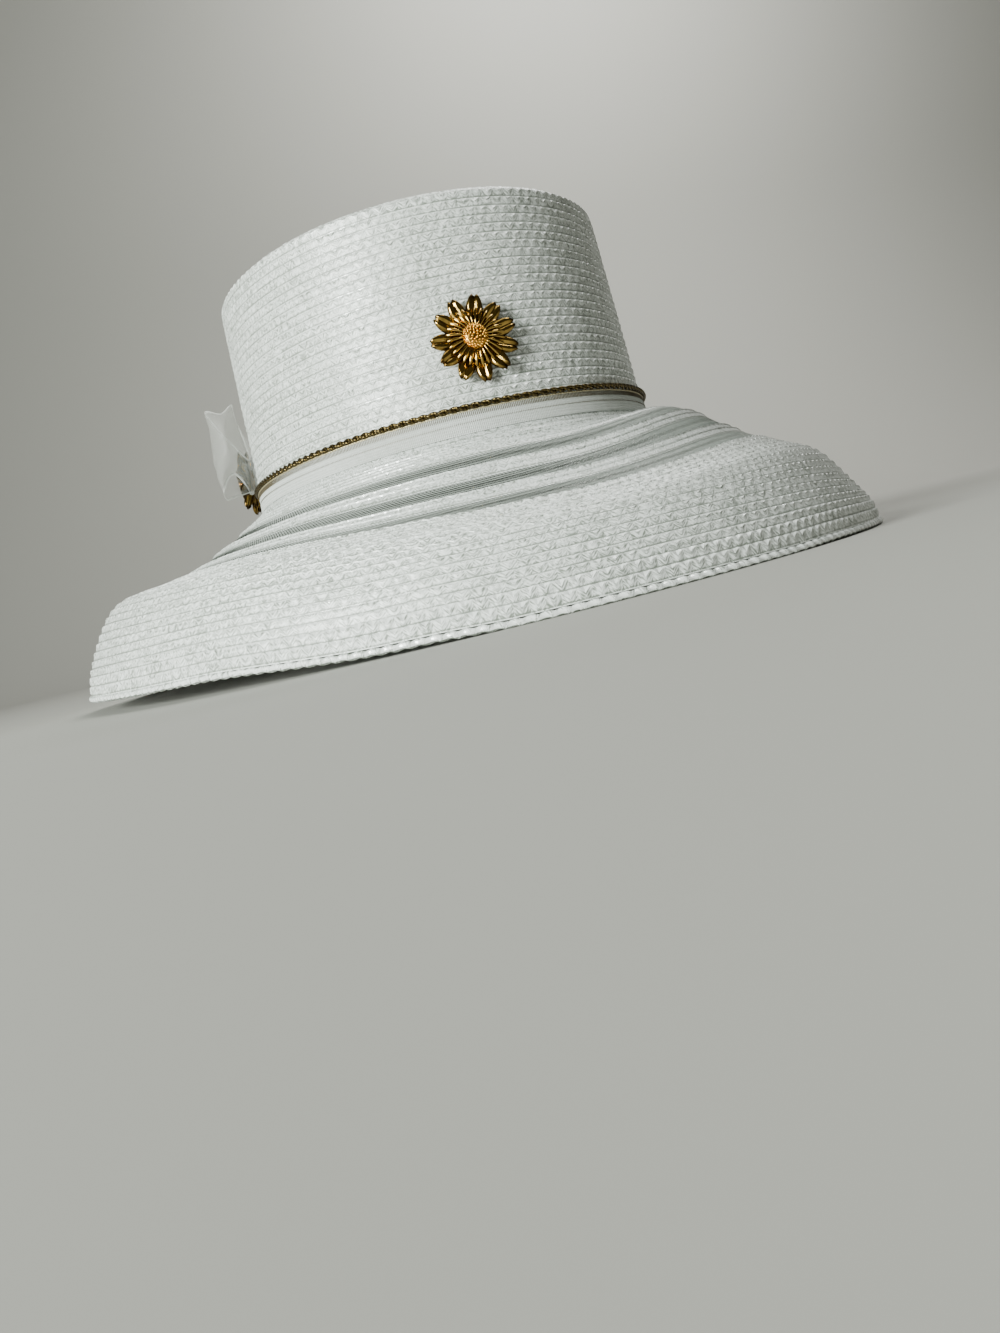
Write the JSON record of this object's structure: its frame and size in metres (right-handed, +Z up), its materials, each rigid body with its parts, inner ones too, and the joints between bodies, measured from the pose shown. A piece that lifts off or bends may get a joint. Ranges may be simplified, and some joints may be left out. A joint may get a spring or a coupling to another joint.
{
  "type": "church hat",
  "caption": "Wide-brimmed dress hat of sewn white braid with a tall oval crown, see-through brim bands, a gold cord, daisy brooches and a sheer bow.",
  "frame": {"origin": "on the table, under the middle of the rim", "axes": "+Z up through the crown; the front with the brooch faces -Y; the bow is at the back left, on the -X side"},
  "size_m": [0.3412, 0.3546, 0.1513],
  "materials": {
    "white_braid": "satin white plaited synthetic straw",
    "sheer_mesh": "see-through woven nylon braid",
    "white_ribbon": "smooth white grosgrain",
    "gold_thread": "twisted metallic thread",
    "sheer_cloth": "crisp sheer organza",
    "dark_gold": "polished antique gold plate",
    "pale_gold": "grained pale gold plate"
  },
  "bodies": {
    "root": {"crown": "white_braid", "ribbon_band": "white_ribbon", "gold_cord": "gold_thread", "brim_collar": "white_braid", "sheer_band_inner": "sheer_mesh", "braid_strip_inner": "white_braid", "sheer_band_middle": "sheer_mesh", "braid_strip_outer": "white_braid", "sheer_band_outer": "sheer_mesh", "brim": "white_braid", "brim_edge": "white_braid", "brooch_petals": "dark_gold", "brooch_florets": "dark_gold", "brooch_eye": "pale_gold", "brooch_pin": "dark_gold", "bow_loop_front": "sheer_cloth", "bow_loop_back": "sheer_cloth", "bow_knot": "sheer_cloth", "side_petals": "dark_gold", "side_florets": "dark_gold", "side_eye": "pale_gold", "side_pin": "dark_gold"}
  },
  "joints": []
}
